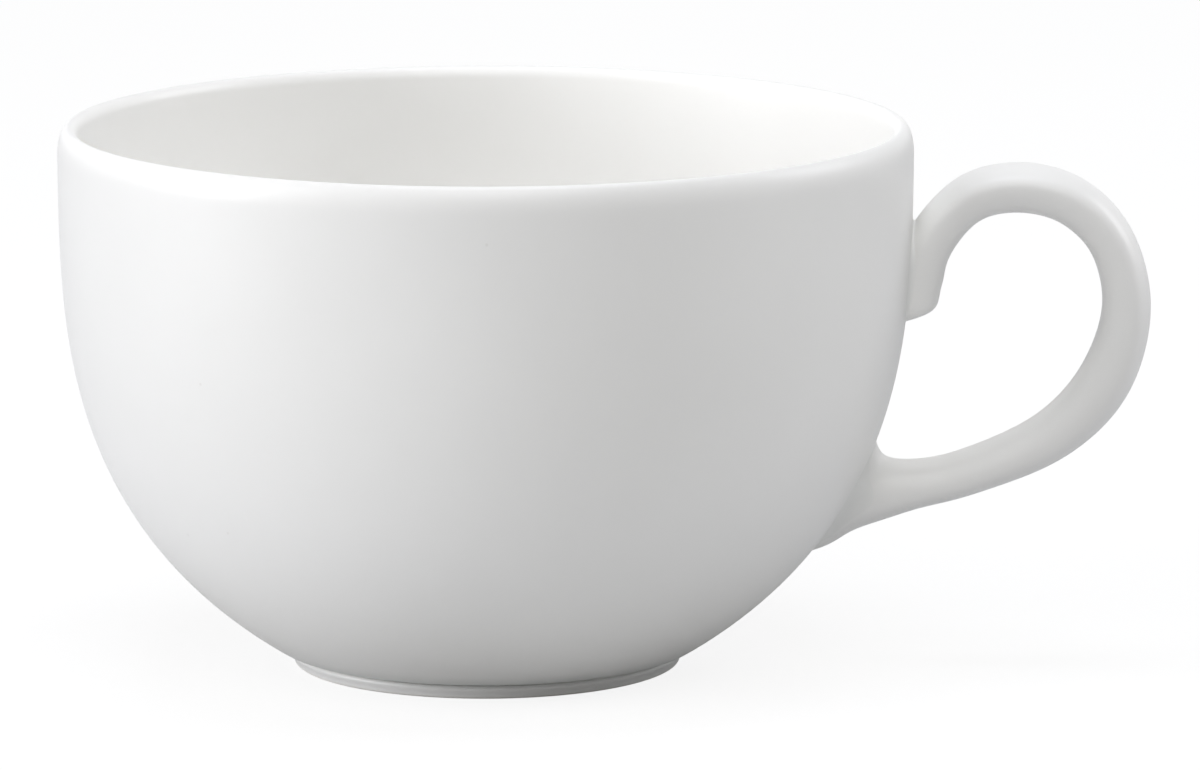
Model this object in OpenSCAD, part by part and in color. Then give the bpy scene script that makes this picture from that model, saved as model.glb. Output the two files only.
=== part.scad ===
// Low round china cup with a foot ring and a loop handle.
// The axis of the bowl is Z, the cup stands on z = 0, and the handle points along +X.
// The bowl, the foot ring and the handle are separate clay pieces. A thin layer of slip
// holds each joint, and is squeezed out a little past it.

/* [Bowl] */
// Diameter across the lip
bowl_d = 94; // [84:1:104]
// Height from the table to the lip
cup_h = 60; // [54:1:68]
// Thickness of the wall up to the lip
wall_t = 2.2; // [1.6:0.1:2.8]
// Width of the rounding outside the crest of the lip
lip_out_w = 1.2; // [0.8:0.1:1.4]
// Height of the rounding outside the crest of the lip
lip_out_h = 3; // [2:0.2:4]
// Height of the rounding inside the crest of the lip
lip_in_h = 1.4; // [0.8:0.1:1.8]
// Thickness of the wall at the heel, where it turns into the floor
heel_t = 3.1; // [2.4:0.1:3.6]
// Thickness of the floor at its middle
floor_t = 2.6; // [2:0.1:3.4]
// Diameter of the flat seat under the bowl
seat_d = 45.9; // [44.4:0.3:48]
// How far the underside rises towards the middle, inside the foot ring
underside_rise = 0.6; // [0.3:0.1:1]

/* [Foot ring] */
// Diameter of the foot ring at its top
foot_d = 43.4; // [41:0.2:43.4]
// Height of the foot ring
foot_h = 1.5; // [1.2:0.1:2.4]
// Width of the ring at its top
foot_w = 3.6; // [3:0.1:4.4]
// Width of the flat standing edge
standing_w = 1.8; // [1.4:0.1:2]
// How far the ring's outer side leans in towards the table
foot_lean = 0.3; // [0.1:0.05:0.4]
// Rounding beside the standing edge
foot_edge_r = 0.4; // [0.2:0.05:0.5]

/* [Handle] */
// How far the handle reaches out from the lip
handle_reach = 26.2; // [24:0.2:30]
// Thickness of the strap, of which each place along it takes a share
handle_t = 5.5; // [4.8:0.1:6]
// Width of the strap
handle_w = 9; // [7.5:0.1:10]
// Rounding of the cut upper end
stub_r = 1; // [0.5:0.1:1.2]

/* [Slip joints] */
// Thickness of the slip in each joint
slip_t = 0.3; // [0.2:0.05:0.45]
// How far the slip is squeezed out past a joint
bead_w = 0.4; // [0.2:0.05:0.5]

/* [Hidden] */

china_colour = [0.93, 0.93, 0.92];
foot_colour = [0.88, 0.87, 0.84];
slip_colour = [0.80, 0.79, 0.76];

// How far a cutter runs past what it cuts
overrun = 2;

// Steps along each curve
wall_steps = 30;
floor_steps = 10;
arc_steps = 8;
stations_per_span = 4;

bowl_r = bowl_d / 2;
lip_crest_r = bowl_r - lip_out_w;
base_z = foot_h + slip_t;
floor_z = base_z + underside_rise + floor_t;

foot_r = foot_d / 2;
foot_inner_r = foot_r - foot_w;
standing_r = foot_r - foot_lean - foot_edge_r;
standing_inner_r = standing_r - standing_w;

// The wall's outer curve leaves the seat at a slant, swells and ends upright below the lip.
// Its two pull points and its top are shares of the lip's radius and of the cup's height.
belly_pull_shares = [0.987, 0.267];
upright_pull_shares = [0.995, 0.621];
wall_top_shares = [0.999, 0.875];
wall_curve = [
    [seat_d / 2, base_z],
    [belly_pull_shares.x * bowl_r, belly_pull_shares.y * cup_h],
    [upright_pull_shares.x * bowl_r, upright_pull_shares.y * cup_h],
    [wall_top_shares.x * bowl_r, wall_top_shares.y * cup_h]
];

// Place on the wall's curve where the inside leaves it to round into the floor
heel_share = 0.1;
// Pull points of the rounding between floor and wall, as shares of the heel's radius and rise
floor_pull_shares = [0.72, 0.45];
// How much of the floor's radius is level
level_floor_share = 0.42;

// Stations along the handle, from its cut upper end round the loop to its lower root.
// Each is [share of the reach outside the lip's radius, share of the cup's height,
// angle from the inner to the outer side, share of the thickness, share of the width].
// The ends lie inside the wall, which cuts them off.
handle_shares = [
    [ 0.008, 0.668,  198, 0.990, 1.00],
    [ 0.018, 0.711,  179, 0.980, 1.00],
    [ 0.071, 0.789,  142, 0.960, 1.00],
    [ 0.231, 0.867,  115, 0.940, 1.00],
    [ 0.447, 0.888,   90, 0.965, 1.00],
    [ 0.666, 0.862,   60, 0.960, 1.00],
    [ 0.834, 0.784,   28, 0.935, 1.00],
    [ 0.894, 0.658,    0, 0.985, 1.00],
    [ 0.797, 0.522,  -28, 1.085, 1.00],
    [ 0.571, 0.421,  -52, 0.985, 1.00],
    [ 0.227, 0.355,  -70, 0.870, 1.00],
    [-0.004, 0.331,  -88, 0.960, 1.03],
    [-0.164, 0.317, -112, 1.490, 1.09],
    [-0.256, 0.313, -116, 2.290, 1.18],
    [-0.347, 0.337, -117, 3.450, 1.33]
];
// Stations that the upper joint and the lower joint reach to
upper_joint_last = 3;
lower_joint_first = 10;

// Half of the strap's section, from the outer crown over the soft ridge to the inner side.
// Each is [share of half the width, share of the thickness above the inner side].
section_shares = [
    [0.00, 1.000], [0.36, 0.975], [0.66, 0.905], [0.84, 0.820], [0.94, 0.735], [0.99, 0.645],
    [1.00, 0.540], [0.985, 0.410], [0.93, 0.270], [0.82, 0.130], [0.62, 0.035], [0.00, 0.000]
];
half_count = len(section_shares);
// The whole section: the half, then its mirror image back to the crown
section = [
    for (i = [0 : half_count - 1]) section_shares[i],
    for (i = [half_count - 2 : -1 : 1]) [-section_shares[i].x, section_shares[i].y]
];

// Point on a cubic curve p at t
function bezier(p, t) =
    pow(1 - t, 3) * p[0] + 3 * t * pow(1 - t, 2) * p[1]
    + 3 * t * t * (1 - t) * p[2] + pow(t, 3) * p[3];

// Direction of a cubic curve p at t
function bezier_tangent(p, t) =
    pow(1 - t, 2) * (p[1] - p[0]) + 2 * t * (1 - t) * (p[2] - p[1])
    + t * t * (p[3] - p[2]);

// Point that lies outside the wall's curve by out, or inside it where out is negative
function beside_wall(t, out) =
    let (along = bezier_tangent(wall_curve, t))
    bezier(wall_curve, t) + out * [along.y, -along.x] / norm(along);

// Wall thickness at t, from the heel to the lip
function thickness_at(t) = wall_t + (heel_t - wall_t) * pow(1 - t, 2);

// Points of the wall's outer curve from the seat to its top, moved out by out
function outer_points(out) = [
    for (i = [0 : wall_steps]) beside_wall(i / wall_steps, out)
];

// Points of an oval about c with half width w and half height h, from angle a to angle b
function oval_points(c, w, h, a, b) = [
    for (i = [0 : arc_steps]) let (angle = a + (b - a) * i / arc_steps)
        c + [w * cos(angle), h * sin(angle)]
];

// Points of an arc of radius r about c, from angle a to angle b
function arc_points(c, r, a, b) = oval_points(c, r, r, a, b);

// Row of a table at a place between its rows, on a smooth curve through them
function smooth_row(rows, place) =
    let (
        last = len(rows) - 1,
        i = min(floor(place), last - 1),
        t = place - i,
        b = rows[i],
        c = rows[i + 1],
        a = i > 0 ? rows[i - 1] : 2 * b - c,
        d = i < last - 1 ? rows[i + 2] : 2 * c - b
    )
    (2 * b + (c - a) * t + (2 * a - 5 * b + 4 * c - d) * t * t
        + (3 * b - a - 3 * c + d) * pow(t, 3)) / 2;

// A station of the handle in real sizes: [centre x, centre z, angle, thickness, width]
function station(place) =
    let (row = smooth_row(handle_shares, place))
    [bowl_r + row[0] * handle_reach, row[1] * cup_h, row[2], row[3] * handle_t, row[4] * handle_w];

// Direction in which the handle runs out at its cut upper end
end_run = [for (i = [0, 1]) station(0)[i] - station(1 / stations_per_span)[i]];
end_along = end_run / norm(end_run);

// One ring of the handle round a station, made smaller all round by inset and moved by shift
// past the cut upper end
function ring(s, inset, shift) =
    let (
        out = [cos(s[2]), sin(s[2])],
        thick = s[3] - 2 * inset,
        wide = s[4] - 2 * inset
    )
    [
        for (p = section)
            let (at = [s[0], s[1]] + out * thick * (p.y - 0.5) + shift * end_along)
            [at.x, p.x * wide / 2, at.y]
    ];

// Rings from one station to another, grown all round by grow. The cut end is rounded.
function handle_rings(first, last, grow) = [
    if (first == 0)
        for (i = [0 : arc_steps - 1])
            let (angle = 90 * i / arc_steps)
            ring(station(0), stub_r * (1 - sin(angle)) - grow, stub_r * cos(angle) + grow),
    for (i = [0 : (last - first) * stations_per_span])
        ring(station(first + i / stations_per_span), -grow, first == 0 && i == 0 ? grow : 0)
];

// Solid through a list of rings
module through_rings(rings) {
    n = len(section);
    last = len(rings) - 1;
    polyhedron(
        points = [for (r = rings) each r],
        faces = [
            [for (i = [0 : n - 1]) i],
            for (k = [0 : last - 1], i = [0 : n - 1])
                let (a = k * n + i, b = k * n + (i + 1) % n)
                each [[a, a + n, b], [b, a + n, b + n]],
            [for (i = [n - 1 : -1 : 0]) last * n + i]
        ]
    );
}

// Everything inside the wall's outer face, and a layer of thickness out around it
module wall_envelope(out) {
    rotate_extrude($fn = 180)
        polygon([
            [0, base_z],
            each outer_points(out),
            [bowl_r + out, cup_h + overrun],
            [0, cup_h + overrun]
        ]);
}

// Layer of slip round the wall, from which each handle joint takes its patch
module wall_slip_layer() {
    difference() {
        wall_envelope(slip_t);
        rotate_extrude($fn = 180)
            polygon([
                [0, base_z - overrun],
                [seat_d / 2, base_z - overrun],
                each outer_points(0),
                [bowl_r, cup_h + 2 * overrun],
                [0, cup_h + 2 * overrun]
            ]);
    }
}

module bowl() {
    heel = beside_wall(heel_share, -thickness_at(heel_share));
    heel_along = bezier_tangent(wall_curve, heel_share);
    heel_run = (heel.y - floor_z) * heel_along.x / heel_along.y;
    floor_curve = [
        [level_floor_share * heel.x, floor_z],
        [floor_pull_shares.x * heel.x, floor_z],
        heel - floor_pull_shares.y * [heel_run, heel.y - floor_z],
        heel
    ];
    color(china_colour)
        rotate_extrude($fn = 180)
            polygon([
                [0, base_z + underside_rise],
                [foot_inner_r - bead_w, base_z],
                each outer_points(0),
                each oval_points([lip_crest_r, cup_h - lip_out_h], lip_out_w, lip_out_h, 0, 90),
                for (i = [1 : arc_steps])
                    oval_points([lip_crest_r, cup_h - lip_in_h], wall_t - lip_out_w, lip_in_h, 90, 180)[i],
                for (i = [wall_steps - 1 : -1 : 0])
                    let (t = heel_share + (1 - heel_share) * i / wall_steps)
                    beside_wall(t, -thickness_at(t)),
                for (i = [floor_steps - 1 : -1 : 0]) bezier(floor_curve, i / floor_steps),
                [0, floor_z]
            ]);
}

module foot_ring() {
    color(foot_colour)
        rotate_extrude($fn = 180)
            polygon([
                [foot_inner_r, foot_h],
                each arc_points([standing_inner_r, foot_edge_r], foot_edge_r, 180, 270),
                each arc_points([standing_r, foot_edge_r], foot_edge_r, 270, 360),
                [foot_r, foot_h]
            ]);
}

module handle() {
    color(china_colour)
        difference() {
            through_rings(handle_rings(0, len(handle_shares) - 1, 0));
            wall_envelope(slip_t);
        }
}

module upper_slip_joint() {
    color(slip_colour)
        intersection() {
            wall_slip_layer();
            through_rings(handle_rings(0, upper_joint_last, bead_w));
        }
}

module lower_slip_joint() {
    color(slip_colour)
        intersection() {
            wall_slip_layer();
            through_rings(handle_rings(lower_joint_first, len(handle_shares) - 1, bead_w));
        }
}

module foot_slip_joint() {
    bead_r = slip_t / 2;
    color(slip_colour)
        rotate_extrude($fn = 180)
            polygon([
                each arc_points([foot_inner_r - bead_w + bead_r, foot_h + bead_r], bead_r, 90, 270),
                each arc_points([foot_r + bead_w - bead_r, foot_h + bead_r], bead_r, -90, 90)
            ]);
}

bowl();
foot_ring();
handle();
upper_slip_joint();
lower_slip_joint();
foot_slip_joint();
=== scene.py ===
import math

import bmesh
import bpy
from mathutils import Matrix, Vector
from mathutils.bvhtree import BVHTree


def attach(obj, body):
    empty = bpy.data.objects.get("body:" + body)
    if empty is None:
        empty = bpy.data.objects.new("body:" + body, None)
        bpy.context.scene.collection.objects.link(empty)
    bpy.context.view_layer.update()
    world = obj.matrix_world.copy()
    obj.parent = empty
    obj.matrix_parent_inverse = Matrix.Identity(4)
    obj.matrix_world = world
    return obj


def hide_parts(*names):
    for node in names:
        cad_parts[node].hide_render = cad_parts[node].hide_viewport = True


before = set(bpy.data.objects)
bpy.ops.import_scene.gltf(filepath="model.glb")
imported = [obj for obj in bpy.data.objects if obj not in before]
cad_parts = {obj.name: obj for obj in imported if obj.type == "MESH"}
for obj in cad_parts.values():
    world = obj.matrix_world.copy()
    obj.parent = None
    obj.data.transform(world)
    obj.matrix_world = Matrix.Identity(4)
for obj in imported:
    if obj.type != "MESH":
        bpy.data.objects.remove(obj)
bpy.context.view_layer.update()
print("cup: frame loaded")

mm = 0.001
creaseAngle = math.radians(50)  # a sharper edge than this stays crisp
mergeGap = 0.002 * mm


# Curves that the pieces are drawn from

def curvePoint(pulls, t):
    s = 1 - t
    return pulls[0] * s ** 3 + pulls[1] * 3 * t * s * s + pulls[2] * 3 * t * t * s + pulls[3] * t ** 3


def curveHeading(pulls, t):
    s = 1 - t
    first, second, third = (there - here for here, there in zip(pulls, pulls[1:]))
    return (first * s * s + second * 2 * t * s + third * t * t).normalized()


def oval(centre, across, up, startAngle, endAngle, steps):
    points = []
    for i in range(steps + 1):
        angle = math.radians(startAngle + (endAngle - startAngle) * i / steps)
        points.append(Vector((centre[0] + across * math.cos(angle), centre[1] + up * math.sin(angle))))
    return points


def arc(centre, radius, startAngle, endAngle, steps):
    return oval(centre, radius, radius, startAngle, endAngle, steps)


def smoothRow(rows, place):
    last = len(rows) - 1
    i = min(int(place), last - 1)
    t = place - i
    b, c = rows[i], rows[i + 1]
    a = rows[i - 1] if i > 0 else [2 * p - q for p, q in zip(b, c)]
    d = rows[i + 2] if i < last - 1 else [2 * q - p for p, q in zip(b, c)]
    smooth = []
    for p, q, r, s in zip(a, b, c, d):
        square, cube = 2 * p - 5 * q + 4 * r - s, 3 * q - p - 3 * r + s
        smooth.append((2 * q + (r - p) * t + square * t * t + cube * t ** 3) / 2)
    return smooth


# Modelling steps that more than one piece takes

def freshStart():
    if bpy.context.mode != "OBJECT":
        bpy.ops.object.mode_set(mode="OBJECT")
    bpy.ops.object.select_all(action="DESELECT")


def pick(piece):
    freshStart()
    piece.select_set(True)
    bpy.context.view_layer.objects.active = piece


def drawOutline(name, points):
    freshStart()
    first = points[0]
    bpy.ops.mesh.primitive_plane_add(size=mm, location=(first.x, 0, first.y))
    piece = bpy.context.active_object
    piece.name = name
    bpy.ops.object.transform_apply(location=True, rotation=True, scale=True)
    bpy.ops.object.mode_set(mode="EDIT")
    bpy.ops.mesh.select_all(action="SELECT")
    bpy.ops.mesh.merge(type="CENTER")  # the plane becomes the outline's first point
    for here, there in zip(points, points[1:]):
        step = (there.x - here.x, 0, there.y - here.y)
        bpy.ops.mesh.extrude_region_move(TRANSFORM_OT_translate={"value": step})
    return piece


def turnOutline(piece, steps):
    bpy.ops.mesh.select_all(action="SELECT")
    bpy.ops.mesh.spin(steps=steps, angle=math.tau, center=(0, 0, 0), axis=(0, 0, 1))
    bpy.ops.mesh.select_all(action="SELECT")
    bpy.ops.mesh.remove_doubles(threshold=mergeGap)
    bpy.ops.mesh.normals_make_consistent(inside=False)
    bpy.ops.object.mode_set(mode="OBJECT")
    return piece


def soften(piece, levels):
    pick(piece)
    smooth = piece.modifiers.new("smooth", "SUBSURF")
    smooth.levels = levels
    smooth.render_levels = levels
    bpy.ops.object.modifier_apply(modifier=smooth.name)
    bpy.ops.object.shade_smooth()


def dress(piece, material, node):
    piece.data.materials.clear()
    piece.data.materials.append(material)
    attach(piece, "root")
    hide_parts(node)


# Bowl

bowlSizes = {
    "lipRadius": 47 * mm,
    "height": 60 * mm,
    "wall": 2.2 * mm,
    "heelWall": 3.1 * mm,
    "floor": 2.6 * mm,
    "seatRadius": 22.95 * mm,
    "seatHeight": 1.8 * mm,
    "undersideRise": 0.6 * mm,
    "recessRadius": 17.7 * mm,
    # the underside's dome, as shares of the recess's radius and of the rise
    "dome": [(0, 1), (0.3, 0.95), (0.65, 0.6), (0.95, 0.08), (1.05, 0)],
    "seatEdge": 0.4 * mm,
    "bellyPull": (0.987, 0.267),  # shares of the lip's radius and of the height
    "uprightPull": (0.995, 0.621),
    "wallTop": (0.999, 0.875),
    "heelShare": 0.1,  # where the inside leaves the wall's curve for the floor
    "floorPulls": (0.45, 0.72, 0.42),  # share of the way down the heel, then shares of its radius
    "floorRings": (0.28, 0.14, 0),
    "lipOutside": (1.2 * mm, 3 * mm),  # width and height of the lip's rounding
    "lipInside": (1.0 * mm, 1.4 * mm),
    "wallSteps": 26,
    "insideSteps": 24,
    "floorSteps": 7,
    "lipSteps": (9, 7),  # outside and inside
    "turnSteps": 96,
}


def wallCurve(sizes):
    across, up = sizes["lipRadius"], sizes["height"]
    pulls = [Vector((sizes["seatRadius"], sizes["seatHeight"]))]
    for key in ("bellyPull", "uprightPull", "wallTop"):
        pulls.append(Vector((sizes[key][0] * across, sizes[key][1] * up)))
    return pulls


def besideWall(pulls, t, out):
    along = curveHeading(pulls, t)
    return curvePoint(pulls, t) + out * Vector((along.y, -along.x))


def bowlOutline(sizes):
    pulls = wallCurve(sizes)
    floorTop = sizes["seatHeight"] + sizes["undersideRise"] + sizes["floor"]

    def wallAt(t):
        return sizes["wall"] + (sizes["heelWall"] - sizes["wall"]) * (1 - t) ** 2

    underside = [
        Vector((across * sizes["recessRadius"], sizes["seatHeight"] + up * sizes["undersideRise"]))
        for across, up in sizes["dome"]
    ]
    underside.append(Vector((sizes["seatRadius"] - sizes["seatEdge"], sizes["seatHeight"])))
    outside = [curvePoint(pulls, i / sizes["wallSteps"]) for i in range(sizes["wallSteps"] + 1)]
    (outAcross, outUp), (inAcross, inUp) = sizes["lipOutside"], sizes["lipInside"]
    crest = sizes["lipRadius"] - outAcross
    outSteps, inSteps = sizes["lipSteps"]
    rim = oval((crest, sizes["height"] - outUp), outAcross, outUp, 0, 90, outSteps)
    rim += oval((crest, sizes["height"] - inUp), inAcross, inUp, 90, 180, inSteps)[1:]
    inside = []
    for i in range(sizes["insideSteps"] - 1, -1, -1):
        t = sizes["heelShare"] + (1 - sizes["heelShare"]) * i / sizes["insideSteps"]
        inside.append(besideWall(pulls, t, -wallAt(t)))
    heel = inside[-1]
    heading = curveHeading(pulls, sizes["heelShare"])
    run = (heel.y - floorTop) * heading.x / heading.y
    down, near, far = sizes["floorPulls"]
    floorPulls = [
        heel,
        heel - down * Vector((run, heel.y - floorTop)),
        Vector((near * heel.x, floorTop)),
        Vector((far * heel.x, floorTop)),
    ]
    steps = sizes["floorSteps"]
    floor = [curvePoint(floorPulls, i / steps) for i in range(1, steps + 1)]
    middle = [Vector((share * heel.x, floorTop)) for share in sizes["floorRings"]]
    return underside + outside + rim + inside + floor + middle


bowl = turnOutline(drawOutline("bowlShell", bowlOutline(bowlSizes)), bowlSizes["turnSteps"])
soften(bowl, 1)
print("cup: bowl turned")


# Foot ring, and the slip between it and the bowl

footSizes = {
    "radius": 21.7 * mm,
    "width": 3.6 * mm,
    "height": 1.5 * mm,
    "lean": 0.3 * mm,
    "edge": 0.4 * mm,
    "standing": 1.8 * mm,
    "shoulder": (0.35 * mm, 0.5 * mm),  # width and height of the rounding at the top
    "waist": (0.24 * mm, 0.58 * mm),  # how far it is drawn in, and at what height
    "standingRings": (0.3, 0.7),  # shares of the standing edge's width
    "edgeSteps": 5,
    "shoulderSteps": (4, 6),  # inside and outside
    "turnSteps": 96,
}


def footOutline(sizes):
    outer, edge = sizes["radius"], sizes["edge"]
    (across, up), (drawnIn, waistHeight) = sizes["shoulder"], sizes["waist"]
    inner = outer - sizes["width"]
    standOuter = outer - sizes["lean"] - edge
    standInner = standOuter - sizes["standing"]
    shoulderTop = sizes["height"] - up
    innerSteps, outerSteps = sizes["shoulderSteps"]
    points = oval((inner + across, shoulderTop), across, up, 90, 180, innerSteps)
    points += arc((standInner, edge), edge, 180, 270, sizes["edgeSteps"])
    for share in sizes["standingRings"]:
        points.append(Vector((standInner + share * sizes["standing"], 0)))
    points += arc((standOuter, edge), edge, 270, 360, sizes["edgeSteps"])
    points.append(Vector((outer - drawnIn, waistHeight)))
    points += oval((outer - across, shoulderTop), across, up, 0, 90, outerSteps)
    points.append(Vector((outer - sizes["width"] / 2, sizes["height"])))
    points.append(points[0].copy())
    return points


footRing = turnOutline(drawOutline("footRing", footOutline(footSizes)), footSizes["turnSteps"])
soften(footRing, 1)


slipSizes = {
    "thickness": 0.3 * mm,
    "footGroove": 0.3 * mm,  # how far the slip over the foot ring is sponged back
    # radius of the hollow at the bottom, the top and half way up the sides of each joint
    "upperHollow": {"bottom": 0.35 * mm, "top": 0.2 * mm, "side": 0.8 * mm},
    "lowerHollow": {"bottom": 0.16 * mm, "top": 0.8 * mm, "side": 3.6 * mm},
    "sunk": 0.008 * mm,
    "depth": 0.15 * mm,
    "loopSteps": 140,
    "hollowSteps": 9,
    "footSteps": 4,
    # where the hollow swells to its side radius: shares of the joint's height and half width
    "swellUp": (0, 0.4),
    "swellOff": (0.5, 0.95),
    "sideways": (0.3, 0.8),
    "calmRounds": {"loop": 2, "normals": 3, "radii": 16, "centres": 2},
}


def footSlipOutline(foot, slip):
    low = foot["height"]
    inner = foot["radius"] - foot["width"] + slip["footGroove"]
    outer = foot["radius"] - slip["footGroove"]
    half = slip["thickness"] / 2
    points = arc((inner + half, low + half), half, 90, 270, slip["footSteps"])
    points += arc((outer - half, low + half), half, -90, 90, slip["footSteps"])
    points.append(points[0].copy())
    return points


footSlipLine = drawOutline("footSlip", footSlipOutline(footSizes, slipSizes))
footSlip = turnOutline(footSlipLine, footSizes["turnSteps"])
soften(footSlip, 1)
print("cup: foot ring turned")


# Handle

handleSizes = {
    "reach": 26.2 * mm,
    "thickness": 5.5 * mm,
    "width": 9 * mm,
    "stubRounding": 1.0 * mm,
    "stubSteps": 5,
    "perSpan": 4,
    "sectionSteps": 18,  # points round half of the section
    # from the cut upper end to the lower root: share of the reach outside the lip, share of the
    # cup's height, angle from the inner to the outer side, shares of the thickness and the width
    "stations": [
        (0.008, 0.668, 198, 0.99, 1.00),
        (0.018, 0.711, 179, 0.98, 1.00),
        (0.071, 0.789, 142, 0.96, 1.00),
        (0.231, 0.867, 115, 0.94, 1.00),
        (0.447, 0.888, 90, 0.965, 1.00),
        (0.666, 0.862, 60, 0.96, 1.00),
        (0.834, 0.784, 28, 0.935, 1.00),
        (0.894, 0.658, 0, 0.985, 1.00),
        (0.797, 0.522, -28, 1.085, 1.00),
        (0.571, 0.421, -52, 0.985, 1.00),
        (0.227, 0.355, -70, 0.87, 1.00),
        (-0.004, 0.331, -88, 0.96, 1.03),
        (-0.164, 0.317, -112, 1.49, 1.09),
        (-0.256, 0.313, -116, 2.29, 1.18),
        (-0.347, 0.337, -117, 3.45, 1.33),
    ],
    # half of the section, from the outer crown over the soft ridge to the inner side:
    # share of half the width, share of the thickness above the inner side
    "section": [
        (0.00, 1.000), (0.36, 0.975), (0.66, 0.905), (0.84, 0.820), (0.94, 0.735),
        (0.99, 0.645), (1.00, 0.540), (0.985, 0.410), (0.93, 0.270), (0.82, 0.130),
        (0.62, 0.035), (0.34, 0.004), (0.00, 0.000),
    ],
}


def handleStations(sizes, cup):
    table = sizes["stations"]
    count = (len(table) - 1) * sizes["perSpan"]
    stations = []
    for i in range(count + 1):
        out, up, angle, thick, wide = smoothRow(table, i / sizes["perSpan"])
        stations.append({
            "place": Vector((cup["lipRadius"] + out * sizes["reach"], 0, up * cup["height"])),
            "angle": math.radians(angle),
            "thickness": thick * sizes["thickness"],
            "width": wide * sizes["width"],
        })
    first = stations[0]
    back = (first["place"] - stations[1]["place"]).normalized()
    rounded = []
    for i in range(sizes["stubSteps"]):
        turn = math.radians(90 * i / sizes["stubSteps"])
        shrink = 2 * sizes["stubRounding"] * (1 - math.sin(turn))
        rounded.append({
            "place": first["place"] + back * sizes["stubRounding"] * math.cos(turn),
            "angle": first["angle"],
            "thickness": first["thickness"] - shrink,
            "width": first["width"] - shrink,
        })
    return rounded + stations


def sectionShares(sizes):
    table, steps = sizes["section"], sizes["sectionSteps"]
    half = [smoothRow(table, (len(table) - 1) * i / steps) for i in range(steps + 1)]
    return half + [[-x, y] for x, y in half[-2:0:-1]]


def handleRings(sizes, cup):
    shares = sectionShares(sizes)
    rings = []
    for station in handleStations(sizes, cup):
        out = Vector((math.cos(station["angle"]), 0, math.sin(station["angle"])))
        place, thickness, width = station["place"], station["thickness"], station["width"]
        rings.append([
            place + out * thickness * (y - 0.5) + Vector((0, x * width / 2, 0)) for x, y in shares
        ])
    return rings


def throughRings(name, rings, capped):
    freshStart()
    fill = "NGON" if capped else "NOTHING"
    bpy.ops.mesh.primitive_circle_add(vertices=len(rings[0]), radius=5 * mm, fill_type=fill)
    piece = bpy.context.active_object
    piece.name = name
    bpy.ops.object.mode_set(mode="EDIT")
    for _ in rings[1:]:
        bpy.ops.mesh.extrude_region_move(TRANSFORM_OT_translate={"value": (0, 0, mm)})
    bpy.ops.object.mode_set(mode="OBJECT")
    floors = {}
    for corner in piece.data.vertices:
        floors.setdefault(round(corner.co.z / mm), []).append(corner)
    for level, ring in enumerate(rings):  # each ring is pulled to its station
        corners = sorted(floors[level], key=lambda v: math.atan2(v.co.y, v.co.x) % math.tau)
        for corner, place in zip(corners, ring):
            corner.co = place
    bpy.ops.object.mode_set(mode="EDIT")
    bpy.ops.mesh.select_all(action="SELECT")
    bpy.ops.mesh.remove_doubles(threshold=mergeGap / 4)
    bpy.ops.mesh.normals_make_consistent(inside=False)
    bpy.ops.object.mode_set(mode="OBJECT")
    return piece


def wallCoreOutline(sizes, inset):
    pulls = wallCurve(sizes)
    steps = sizes["wallSteps"]
    side = [besideWall(pulls, i / steps, -inset) for i in range(steps + 1)]
    top = 1.05 * sizes["height"]  # anywhere over the lip
    return [Vector((0, side[0].y))] + side + [Vector((side[-1].x, top)), Vector((0, top))]


def trimAtWall(piece, sizes, inset):
    core = turnOutline(drawOutline("wallCore", wallCoreOutline(sizes, inset)), sizes["turnSteps"])
    pick(piece)
    cut = piece.modifiers.new("trim", "BOOLEAN")
    cut.operation = "DIFFERENCE"
    cut.solver = "EXACT"
    cut.object = core
    bpy.ops.object.modifier_apply(modifier=cut.name)
    bpy.data.objects.remove(core, do_unlink=True)
    bpy.ops.object.shade_smooth_by_angle(angle=creaseAngle)


handle = throughRings("handleStrap", handleRings(handleSizes, bowlSizes), True)
soften(handle, 2)
trimAtWall(handle, bowlSizes, slipSizes["thickness"])
print("cup: handle swept and trimmed to the wall")


# Slip squeezed out round both ends of the handle, and sponged to a hollow

def surfaceOf(piece):
    return BVHTree.FromObject(piece, bpy.context.evaluated_depsgraph_get())


def gapTo(surface, point):
    near, normal, _, gap = surface.find_nearest(point)
    return gap if (point - near).dot(normal) > 0 else -gap


def meetingLoops(piece, wall):
    mesh = bmesh.new()
    mesh.from_mesh(piece.data)
    gaps = {corner: gapTo(wall, corner.co) for corner in mesh.verts}
    crossings = {}
    for edge in mesh.edges:
        a, b = edge.verts
        if gaps[a] * gaps[b] < 0:
            crossings[edge] = a.co.lerp(b.co, gaps[a] / (gaps[a] - gaps[b]))
    loops = []
    while crossings:
        edge, place = crossings.popitem()
        loop = [place]
        while edge:
            onward = [e for face in edge.link_faces for e in face.edges if e in crossings]
            edge = onward[0] if onward else None
            if edge:
                loop.append(crossings.pop(edge))
        if len(loop) > 20:
            loops.append(loop)
    mesh.free()
    return sorted(loops, key=lambda loop: sum(p.z for p in loop) / len(loop), reverse=True)


def evenLoop(loop, count):
    walk = [0]
    closed = loop + [loop[0]]
    for here, there in zip(closed, closed[1:]):
        walk.append(walk[-1] + (there - here).length)
    even, k = [], 0
    for i in range(count):
        goal = walk[-1] * i / count
        while walk[k + 1] < goal:
            k += 1
        share = (goal - walk[k]) / max(walk[k + 1] - walk[k], 1e-9)
        even.append(closed[k].lerp(closed[k + 1], share))
    return even


def calm(values, rounds):
    count = len(values)
    for _ in range(rounds):
        values = [(values[i - 1] + 2 * values[i] + values[(i + 1) % count]) / 4 for i in range(count)]
    return values


def mix(low, high, share):
    share = min(max(share, 0), 1)
    return low + (high - low) * share * share * (3 - 2 * share)


def between(value, ends):
    return (value - ends[0]) / (ends[1] - ends[0])


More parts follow.
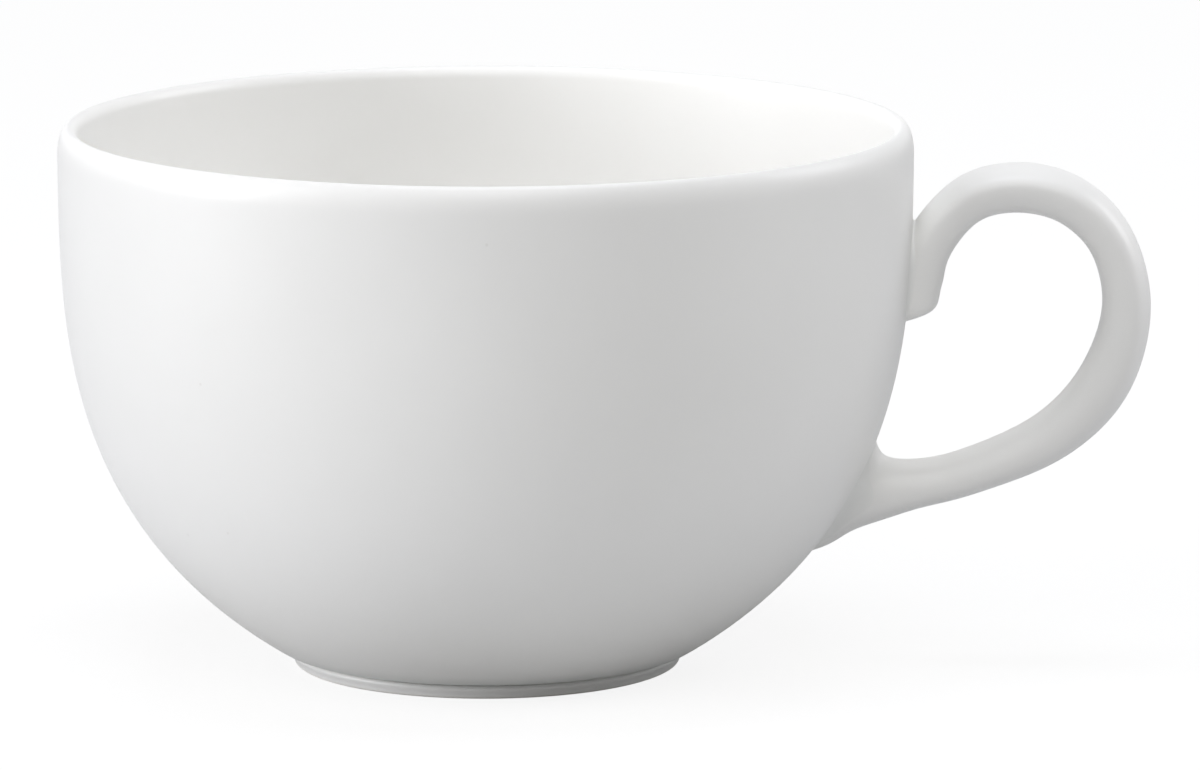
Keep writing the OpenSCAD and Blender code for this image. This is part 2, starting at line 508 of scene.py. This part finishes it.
def hollowRadius(place, loop, sizes, radii):
    rise = between(place.z, (min(p.z for p in loop), max(p.z for p in loop)))
    sideways = abs(place.y) / max(abs(p.y) for p in loop)
    end = mix(radii["bottom"], radii["top"], rise)
    swell = mix(0, 1, between(rise, sizes["swellUp"])) * mix(1, 0, between(rise, sizes["swellOff"]))
    return mix(end, radii["side"], swell * mix(0, 1, between(sideways, sizes["sideways"])))


def restingBall(place, along, wall, strap, up, out, radius):
    # a ball rolled along the corner between the wall and the strap, moved until it touches both
    centre = place + (up + out).normalized() * 1.3 * radius
    for _ in range(12):
        onWall = wall.find_nearest(centre)[0]
        onStrap = strap.find_nearest(centre)[0]
        fromWall, fromStrap = centre - onWall, centre - onStrap
        rows = Matrix((fromWall.normalized(), fromStrap.normalized(), along))
        miss = Vector((radius - fromWall.length, radius - fromStrap.length, 0))
        centre = centre + 0.8 * (rows.inverted_safe() @ miss)
    return centre


def beadRings(loop, wall, strap, sizes, radii):
    rounds = sizes["calmRounds"]
    loop = calm(evenLoop(loop, sizes["loopSteps"]), rounds["loop"])
    wallNormals = calm([wall.find_nearest(p)[1] for p in loop], rounds["normals"])
    strapNormals = calm([strap.find_nearest(p)[1] for p in loop], rounds["normals"])
    sized = calm([hollowRadius(p, loop, sizes, radii) for p in loop], rounds["radii"])
    count, centres = len(loop), []
    for i, (place, up, out) in enumerate(zip(loop, wallNormals, strapNormals)):
        along = (loop[(i + 1) % count] - loop[i - 1]).normalized()
        centres.append(restingBall(place, along, wall, strap, up, out, sized[i]))
    centres = calm(centres, rounds["centres"])
    steps = sizes["hollowSteps"]
    rings = [[] for _ in range(steps + 2)]
    for place, centre, up, out in zip(loop, centres, wallNormals, strapNormals):
        onWall = wall.find_nearest(centre)[0]
        onStrap = strap.find_nearest(centre)[0]
        first, last = onWall - centre, onStrap - centre
        turn = first.angle(last)
        for j in range(steps + 1):
            s = j / steps
            spoke = (first * math.sin((1 - s) * turn) + last * math.sin(s * turn)) / math.sin(turn)
            rings[j].append(centre + spoke)
        rings[0][-1] += first.normalized() * sizes["sunk"]
        rings[steps][-1] += last.normalized() * sizes["sunk"]
        rings[steps + 1].append(place - (up + out).normalized() * sizes["depth"])
    return rings + [[p.copy() for p in rings[0]]]


def slipBead(name, loop, wall, strap, sizes, radii):
    piece = throughRings(name, beadRings(loop, wall, strap, sizes, sizes[radii]), False)
    pick(piece)
    bpy.ops.object.shade_smooth_by_angle(angle=creaseAngle)
    return piece


wallSurface = surfaceOf(bowl)
strapSurface = surfaceOf(handle)
joints = meetingLoops(handle, wallSurface)
upperSlip = slipBead("upperSlip", joints[0], wallSurface, strapSurface, slipSizes, "upperHollow")
lowerSlip = slipBead("lowerSlip", joints[1], wallSurface, strapSurface, slipSizes, "lowerHollow")
print("cup: handle joined with slip")


# Finishes

def nodeGroup(name, inputs, outputs):
    group = bpy.data.node_groups.new(name, "ShaderNodeTree")
    for label, kind, value in inputs:
        socket = group.interface.new_socket(name=label, in_out="INPUT", socket_type=kind)
        socket.default_value = value
    for label, kind in outputs:
        group.interface.new_socket(name=label, in_out="OUTPUT", socket_type=kind)
    return group


def addNode(tree, kind, **settings):
    node = tree.nodes.new(kind)
    for key, value in settings.items():
        if key.startswith("in_"):
            node.inputs[key[3:].replace("_", " ")].default_value = value
        else:
            setattr(node, key, value)
    return node


filmSizes = {  # scales are repeats to the metre
    "cloudScale": 42,  # patches about 25 mm wide
    "cloudTone": (0.975, 1.0),
    "pitScale": 420,
    "pitReach": (0.10, 0.04),  # where a pinhole begins and where it is full
    "pitRarity": 0.985,
    "pitStain": (0.35, 0.31, 0.26),
    "pitStrength": 0.12,
    "hazeScale": 160,
    "hazeSpread": (-0.02, 0.03),  # least and most change of the roughness
    "rippleScale": 520,  # waves about 2 mm wide
}


def spreadNoise(tree, noise, ends):
    # noise keeps near its middle, so its middle part is stretched to the ends
    spread = addNode(tree, "ShaderNodeMapRange", in_From_Min=0.3, in_From_Max=0.7)
    spread.inputs["To Min"].default_value, spread.inputs["To Max"].default_value = ends
    tree.links.new(noise.outputs["Fac"], spread.inputs["Value"])
    return spread.outputs["Result"]


def placedNoise(tree, place, scale, detail):
    noise = addNode(tree, "ShaderNodeTexNoise", in_Scale=scale, in_Detail=detail)
    tree.links.new(place.outputs["Object"], noise.inputs["Vector"])
    return noise


def buildGlazeFilm(sizes):
    film = nodeGroup("glazeFilm", [
        ("Tint", "NodeSocketColor", (0.9, 0.9, 0.88, 1)),
        ("Pool Shade Tint", "NodeSocketColor", (0.85, 0.87, 0.85, 1)),
        ("Pool Shade Mask", "NodeSocketFloat", 0.0),
        ("Roughness", "NodeSocketFloat", 0.3),
    ], [
        ("Color", "NodeSocketColor"),
        ("Roughness", "NodeSocketFloat"),
        ("Height", "NodeSocketFloat"),
    ])
    link = film.links.new
    given = addNode(film, "NodeGroupInput")
    result = addNode(film, "NodeGroupOutput")
    place = addNode(film, "ShaderNodeTexCoord")
    clouds = placedNoise(film, place, sizes["cloudScale"], 3)
    toned = addNode(film, "ShaderNodeMix", data_type="RGBA", blend_type="MULTIPLY")
    toned.inputs["Factor"].default_value = 1
    link(given.outputs["Tint"], toned.inputs[6])
    link(spreadNoise(film, clouds, sizes["cloudTone"]), toned.inputs[7])
    # darker tint in corners and creases: pooled glaze together with painted shade
    pooledShaded = addNode(film, "ShaderNodeMix", data_type="RGBA")
    link(given.outputs["Pool Shade Mask"], pooledShaded.inputs[0])
    link(toned.outputs[2], pooledShaded.inputs[6])
    link(given.outputs["Pool Shade Tint"], pooledShaded.inputs[7])
    pits = addNode(film, "ShaderNodeTexVoronoi", in_Scale=sizes["pitScale"])  # a few to the square cm
    link(place.outputs["Object"], pits.inputs["Vector"])
    nearPit = addNode(film, "ShaderNodeMapRange", in_To_Min=0, in_To_Max=1)
    begins, full = sizes["pitReach"]
    nearPit.inputs["From Min"].default_value = begins
    nearPit.inputs["From Max"].default_value = full
    link(pits.outputs["Distance"], nearPit.inputs["Value"])
    chance = addNode(film, "ShaderNodeSeparateColor")
    link(pits.outputs["Color"], chance.inputs["Color"])
    rare = addNode(film, "ShaderNodeMath", operation="GREATER_THAN")
    rare.inputs[1].default_value = sizes["pitRarity"]
    link(chance.outputs["Red"], rare.inputs[0])
    pit = addNode(film, "ShaderNodeMath", operation="MULTIPLY")
    link(nearPit.outputs["Result"], pit.inputs[0])
    link(rare.outputs[0], pit.inputs[1])
    specked = addNode(film, "ShaderNodeMix", data_type="RGBA", blend_type="MULTIPLY")
    dim = addNode(film, "ShaderNodeMath", operation="MULTIPLY")
    dim.inputs[1].default_value = sizes["pitStrength"]
    link(pit.outputs[0], dim.inputs[0])
    link(dim.outputs[0], specked.inputs[0])
    link(pooledShaded.outputs[2], specked.inputs[6])
    specked.inputs[7].default_value = (*sizes["pitStain"], 1)
    link(specked.outputs[2], result.inputs["Color"])
    haze = placedNoise(film, place, sizes["hazeScale"], 4)
    rough = addNode(film, "ShaderNodeMath", operation="ADD")
    link(given.outputs["Roughness"], rough.inputs[0])
    link(spreadNoise(film, haze, sizes["hazeSpread"]), rough.inputs[1])
    link(rough.outputs[0], result.inputs["Roughness"])
    peel = placedNoise(film, place, sizes["rippleScale"], 1.5)
    sag = addNode(film, "ShaderNodeMath", operation="SUBTRACT")
    link(peel.outputs["Fac"], sag.inputs[0])
    link(pit.outputs[0], sag.inputs[1])
    link(sag.outputs[0], result.inputs["Height"])
    return film


glazeFilm = buildGlazeFilm(filmSizes)


def softStep(tree, value, none, full):
    ramp = addNode(tree, "ShaderNodeMapRange", interpolation_type="SMOOTHSTEP")
    ramp.inputs["To Min"].default_value, ramp.inputs["To Max"].default_value = 0, 1
    ramp.inputs["From Min"].default_value = none
    ramp.inputs["From Max"].default_value = full
    tree.links.new(value, ramp.inputs["Value"])
    return ramp.outputs["Result"]


def heightMask(tree, full, none):
    place = addNode(tree, "ShaderNodeTexCoord")
    split = addNode(tree, "ShaderNodeSeparateXYZ")
    tree.links.new(place.outputs["Object"], split.inputs[0])
    return softStep(tree, split.outputs["Z"], none, full)


def paintedInsideLightMask(tree):
    # full where the surface faces the cup's axis, as the inside of the bowl does; there a lighter tint
    # is laid on as painted light on the inner wall
    place = addNode(tree, "ShaderNodeTexCoord")
    level = addNode(tree, "ShaderNodeVectorMath", operation="MULTIPLY")
    level.inputs[1].default_value = (1, 1, 0)
    tree.links.new(place.outputs["Object"], level.inputs[0])
    outward = addNode(tree, "ShaderNodeVectorMath", operation="NORMALIZE")
    tree.links.new(level.outputs[0], outward.inputs[0])
    facing = addNode(tree, "ShaderNodeVectorMath", operation="DOT_PRODUCT")
    tree.links.new(outward.outputs[0], facing.inputs[0])
    tree.links.new(place.outputs["Normal"], facing.inputs[1])
    return softStep(tree, facing.outputs["Value"], 0, -0.8)


def glazedFinish(name, sizes):
    material = bpy.data.materials.new(name)
    material.use_nodes = True
    tree = material.node_tree
    shader = tree.nodes["Principled BSDF"]
    film = addNode(tree, "ShaderNodeGroup", node_tree=glazeFilm)
    film.inputs["Tint"].default_value = (*sizes["tint"], 1)
    # painted light: the inside of the bowl is given a lighter tint than the outside
    if sizes.get("paintedInsideLight"):
        litInside = addNode(tree, "ShaderNodeMix", data_type="RGBA")
        tree.links.new(paintedInsideLightMask(tree), litInside.inputs[0])
        litInside.inputs[6].default_value = (*sizes["tint"], 1)
        litInside.inputs[7].default_value = (*sizes["paintedInsideLight"], 1)
        tree.links.new(litInside.outputs[2], film.inputs["Tint"])
    film.inputs["Pool Shade Tint"].default_value = (*sizes["poolShadeTint"], 1)
    film.inputs["Roughness"].default_value = sizes["roughness"]
    if sizes.get("poolShadeHeights"):
        tree.links.new(heightMask(tree, *sizes["poolShadeHeights"]), film.inputs["Pool Shade Mask"])
    else:
        film.inputs["Pool Shade Mask"].default_value = sizes.get("poolShadeShare", 0)
    bump = addNode(tree, "ShaderNodeBump", in_Strength=sizes["ripple"])
    bump.inputs["Distance"].default_value = sizes["rippleHeight"]
    tree.links.new(film.outputs["Color"], shader.inputs["Base Color"])
    tree.links.new(film.outputs["Roughness"], shader.inputs["Roughness"])
    tree.links.new(film.outputs["Height"], bump.inputs["Height"])
    tree.links.new(bump.outputs["Normal"], shader.inputs["Normal"])
    shader.inputs["IOR"].default_value = sizes["ior"]
    shader.inputs["Coat Weight"].default_value = sizes["coat"]
    shader.inputs["Coat Roughness"].default_value = sizes["coatRoughness"]
    return material


bowlFinish = {
    "tint": (0.89, 0.887, 0.87),
    # a lighter tint for the inside of the bowl: painted light on the inner wall
    "paintedInsideLight": (0.952, 0.947, 0.927),
    "poolShadeTint": (0.80, 0.81, 0.79),
    "poolShadeHeights": (1.9 * mm, 3.4 * mm),  # darker tint low on the bowl, in the corner over the foot ring: glaze gathers there, and painted shade is laid in that crease
    "roughness": 0.42,
    "ripple": 0.12,
    "rippleHeight": 0.1 * mm,
    "ior": 1.4,
    "coat": 0.3,
    "coatRoughness": 0.3,
}
# the handle, and the foot ring that takes its tint, are tinted a little darker than the bowl though
# the glaze is the same: painted shade
handleFinish = dict(bowlFinish, tint=(0.874, 0.87, 0.854), paintedInsideLight=None, poolShadeHeights=None)
# the slip in the joints has a slightly darker tint and takes part of the darker corner tint: pooled
# glaze with painted shade in the creases
slipFinish = dict(handleFinish, tint=(0.87, 0.867, 0.85), poolShadeShare=0.3)
footFinish = dict(
    handleFinish,
    biscuit=(0.90, 0.885, 0.85),  # the bare clay of the standing edge
    biscuitTop=0.32 * mm,
    biscuitGrain=2600,
    biscuitRoughness=0.85,
)


def addBiscuit(material, sizes):
    tree = material.node_tree
    shader = tree.nodes["Principled BSDF"]
    glazed = shader.inputs["Base Color"].links[0].from_socket
    satin = shader.inputs["Roughness"].links[0].from_socket
    bare = heightMask(tree, 0.7 * sizes["biscuitTop"], 1.2 * sizes["biscuitTop"])
    grain = placedNoise(tree, addNode(tree, "ShaderNodeTexCoord"), sizes["biscuitGrain"], 5)
    clay = addNode(tree, "ShaderNodeMix", data_type="RGBA")
    tree.links.new(grain.outputs["Fac"], clay.inputs[0])
    clay.inputs[6].default_value = (*sizes["biscuit"], 1)
    clay.inputs[7].default_value = (*[0.9 * c for c in sizes["biscuit"]], 1)
    colour = addNode(tree, "ShaderNodeMix", data_type="RGBA")
    tree.links.new(bare, colour.inputs[0])
    tree.links.new(glazed, colour.inputs[6])
    tree.links.new(clay.outputs[2], colour.inputs[7])
    tree.links.new(colour.outputs[2], shader.inputs["Base Color"])
    rough = addNode(tree, "ShaderNodeMix")
    tree.links.new(bare, rough.inputs[0])
    tree.links.new(satin, rough.inputs[2])
    rough.inputs[3].default_value = sizes["biscuitRoughness"]
    tree.links.new(rough.outputs[0], shader.inputs["Roughness"])
    film = addNode(tree, "ShaderNodeMath", operation="MULTIPLY_ADD")  # no glaze on the bare edge
    tree.links.new(bare, film.inputs[0])
    film.inputs[1].default_value = -sizes["coat"]
    film.inputs[2].default_value = sizes["coat"]
    tree.links.new(film.outputs[0], shader.inputs["Coat Weight"])


glazedChina = glazedFinish("glazedChina", bowlFinish)
handleChina = glazedFinish("handleChina", handleFinish)
footChina = glazedFinish("footChina", footFinish)
addBiscuit(footChina, footFinish)
firedSlip = glazedFinish("firedSlip", slipFinish)

dress(bowl, glazedChina, "bowl")
dress(footRing, footChina, "foot_ring")
dress(handle, handleChina, "handle")
dress(upperSlip, firedSlip, "upper_slip_joint")
dress(lowerSlip, firedSlip, "lower_slip_joint")
dress(footSlip, firedSlip, "foot_slip_joint")
print("cup: glazed")


# Floor, light and camera

studio = {
    "floorSize": 5.0,
    "floorDrop": 0.02 * mm,  # keeps the floor clear of the standing edge
    "floorGlow": 0.86,  # what the camera sees of the floor before the lamps are added
    "floorRise": (0.7, 1.1),  # where the glow starts to rise to plain white and where it is white
    "floorTint": (0.16, 0.16, 0.16),
    "floorBounce": (0.65, 0.65, 0.65),
    "ambient": (0.19, 0.19, 0.19),
    "cameraPlace": (0.0434, -0.8840, 0.1894),
    "cameraTilt": 79.84,
    "cameraTurn": 2.0,
    "cameraLens": 244.5,
    "cameraFilm": 36,
    "lamps": [  # name, place, aimed at, size, strength in watts, colour
        ("keySoftbox", (-1.44, -0.33, 0.26), (0, 0, 0.03), (0.8, 0.42), 9.5, (0.965, 0.97, 1.0)),
        ("fillSoftbox", (-1.18, -0.56, 0.74), (0, 0, 0.03), (0.8, 0.7), 4.7, (0.97, 0.975, 1.0)),
        ("topSoftbox", (0.0, -0.05, 1.53), (0, 0, 0.03), (0.9, 0.7), 8.4, (0.9, 0.925, 1.0)),
        ("sideSoftbox", (1.27, 0.38, 0.72), (0, 0, 0.03), (0.7, 0.7), 6.4, (0.97, 0.975, 1.0)),
        ("frontSoftbox", (0.12, -1.05, 1.08), (0, 0, 0.03), (0.8, 0.95), 6.0, (1.0, 0.99, 0.965)),
        ("backSoftbox", (0.0, 0.86, 1.26), (0, 0, 0.03), (0.7, 0.7), 0.8, (1.0, 1.0, 1.0)),
    ],
}


def seenRays(tree):
    path = addNode(tree, "ShaderNodeLightPath")
    total = path.outputs["Is Camera Ray"]
    for label in ("Is Glossy Ray", "Is Transmission Ray"):
        both = addNode(tree, "ShaderNodeMath", operation="ADD", use_clamp=True)
        tree.links.new(total, both.inputs[0])
        tree.links.new(path.outputs[label], both.inputs[1])
        total = both.outputs[0]
    return total


def buildFloor(sizes):
    freshStart()
    bpy.ops.mesh.primitive_plane_add(size=sizes["floorSize"], location=(0, 0, -sizes["floorDrop"]))
    floor = bpy.context.active_object
    floor.name = "studioFloor"
    material = bpy.data.materials.new("paleFloor")
    material.use_nodes = True
    tree = material.node_tree
    tree.nodes.clear()
    out = addNode(tree, "ShaderNodeOutputMaterial")
    seen = addNode(tree, "ShaderNodeAddShader")
    place = addNode(tree, "ShaderNodeTexCoord")
    distance = addNode(tree, "ShaderNodeVectorMath", operation="LENGTH")
    rise = addNode(tree, "ShaderNodeMapRange", in_To_Max=1)
    rise.inputs["From Min"].default_value, rise.inputs["From Max"].default_value = sizes["floorRise"]
    rise.inputs["To Min"].default_value = sizes["floorGlow"]
    tree.links.new(place.outputs["Object"], distance.inputs[0])
    tree.links.new(distance.outputs["Value"], rise.inputs["Value"])
    glow = addNode(tree, "ShaderNodeEmission")
    glow.inputs["Color"].default_value = (1, 1, 1, 1)
    tree.links.new(rise.outputs["Result"], glow.inputs["Strength"])
    shade = addNode(tree, "ShaderNodeBsdfDiffuse")
    shade.inputs["Color"].default_value = (*sizes["floorTint"], 1)
    bounce = addNode(tree, "ShaderNodeBsdfDiffuse")
    bounce.inputs["Color"].default_value = (*sizes["floorBounce"], 1)
    choose = addNode(tree, "ShaderNodeMixShader")
    tree.links.new(glow.outputs[0], seen.inputs[0])
    tree.links.new(shade.outputs[0], seen.inputs[1])
    path = addNode(tree, "ShaderNodeLightPath")
    tree.links.new(path.outputs["Is Camera Ray"], choose.inputs[0])
    tree.links.new(bounce.outputs[0], choose.inputs[1])
    tree.links.new(seen.outputs[0], choose.inputs[2])
    tree.links.new(choose.outputs[0], out.inputs["Surface"])
    floor.data.materials.append(material)


def buildWorld(sizes):
    world = bpy.data.worlds.new("studioAir")
    bpy.context.scene.world = world
    world.use_nodes = True
    tree = world.node_tree
    tree.nodes.clear()
    out = addNode(tree, "ShaderNodeOutputWorld")
    choose = addNode(tree, "ShaderNodeMixShader")
    dim = addNode(tree, "ShaderNodeBackground", in_Strength=1)
    dim.inputs["Color"].default_value = (*sizes["ambient"], 1)
    white = addNode(tree, "ShaderNodeBackground", in_Strength=1)
    white.inputs["Color"].default_value = (1, 1, 1, 1)
    tree.links.new(seenRays(tree), choose.inputs[0])
    tree.links.new(dim.outputs[0], choose.inputs[1])
    tree.links.new(white.outputs[0], choose.inputs[2])
    tree.links.new(choose.outputs[0], out.inputs["Surface"])


def placeLamps(sizes):
    for name, place, target, (wide, tall), watts, colour in sizes["lamps"]:
        freshStart()
        bpy.ops.object.light_add(type="AREA", location=place)
        lamp = bpy.context.active_object
        lamp.name = name
        lamp.data.shape = "RECTANGLE"
        lamp.data.size = wide
        lamp.data.size_y = tall
        lamp.data.energy = watts
        lamp.data.color = colour
        lamp.rotation_euler = (Vector(target) - Vector(place)).to_track_quat("-Z", "Y").to_euler()


def placeCamera(sizes):
    freshStart()
    bpy.ops.object.camera_add(location=sizes["cameraPlace"])
    camera = bpy.context.active_object
    camera.name = "photoCamera"
    camera.rotation_euler = (math.radians(sizes["cameraTilt"]), 0, math.radians(sizes["cameraTurn"]))
    camera.data.lens = sizes["cameraLens"]
    camera.data.sensor_width = sizes["cameraFilm"]
    camera.data.clip_end = 4 * sizes["floorSize"]
    bpy.context.scene.camera = camera


buildFloor(studio)
buildWorld(studio)
placeLamps(studio)
placeCamera(studio)
bpy.context.scene.view_settings.view_transform = "Standard"
print("cup: studio set")
